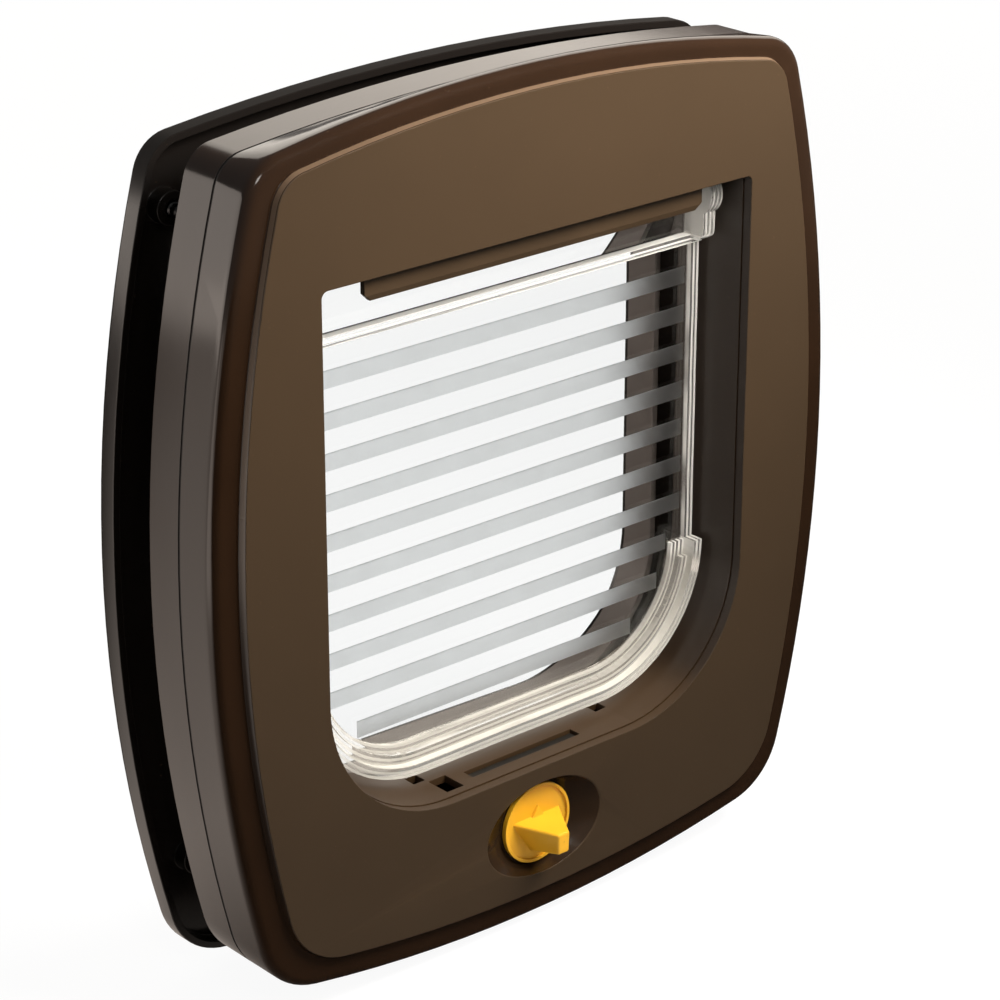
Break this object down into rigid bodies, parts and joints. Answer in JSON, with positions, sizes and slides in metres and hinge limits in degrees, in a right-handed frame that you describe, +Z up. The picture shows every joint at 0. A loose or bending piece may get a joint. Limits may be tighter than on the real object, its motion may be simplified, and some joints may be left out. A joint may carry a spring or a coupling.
{
  "type": "pet door",
  "caption": "Small-animal door for a door leaf: two bowed plastic frames, a clear flap with frosted bands that swings both ways, and a rotary knob that raises hidden catches to lock it.",
  "frame": {"origin": "middle of the passage, in the plane where the front frame's flange lies on the door leaf", "axes": "+X to the right as seen from indoors, +Y through the door towards outdoors, +Z up"},
  "size_m": [0.2224, 0.058, 0.2495],
  "materials": {
    "brown_plastic": "brown moulded plastic, semi-gloss",
    "brown_frame": "brown moulded plastic, satin",
    "clear_plastic": "clear moulded plastic with frosted bands",
    "yellow_plastic": "yellow moulded plastic, semi-gloss",
    "lock_plastic": "black moulded plastic",
    "steel": "plated steel"
  },
  "bodies": {
    "housing": {"front_cover": "brown_plastic", "front_frame": "brown_frame", "hinge_hood": "brown_plastic", "rear_frame": "brown_frame", "fixing_screws": "steel", "guide_plate": "lock_plastic", "guide_screws": "steel", "leaf_spring": "steel"},
    "flap": {"flap": "clear_plastic", "left_hinge_pin": "steel", "right_hinge_pin": "steel"},
    "knob": {"lock_knob": "yellow_plastic", "cam_wheel": "lock_plastic", "knob_washer": "steel", "knob_screw": "steel"},
    "front_catch": {"front_catch": "lock_plastic"},
    "rear_catch": {"rear_catch": "lock_plastic"}
  },
  "joints": [
    {"name": "flap_swing", "type": "hinge", "parent": "housing", "child": "flap", "pos_m": [0, -0.013, 0.0705], "axis": [1, 0, 0], "range_deg": [-70, 70]},
    {"name": "knob_turn", "type": "hinge", "parent": "housing", "child": "knob", "pos_m": [0, -0.0234, -0.0966], "axis": [0, 1, 0], "range_deg": [0, 90]},
    {"name": "front_catch_slide", "type": "slide", "parent": "housing", "child": "front_catch", "axis": [0, 0, 1], "range_m": [0, 0.007]},
    {"name": "rear_catch_slide", "type": "slide", "parent": "housing", "child": "rear_catch", "axis": [0, 0, 1], "range_m": [0, 0.007]}
  ],
  "couplings": [
    {"joint": "front_catch_slide", "follows": "knob_turn", "m_per_rad": 0.004456},
    {"joint": "rear_catch_slide", "follows": "knob_turn", "m_per_rad": 0.004456}
  ]
}
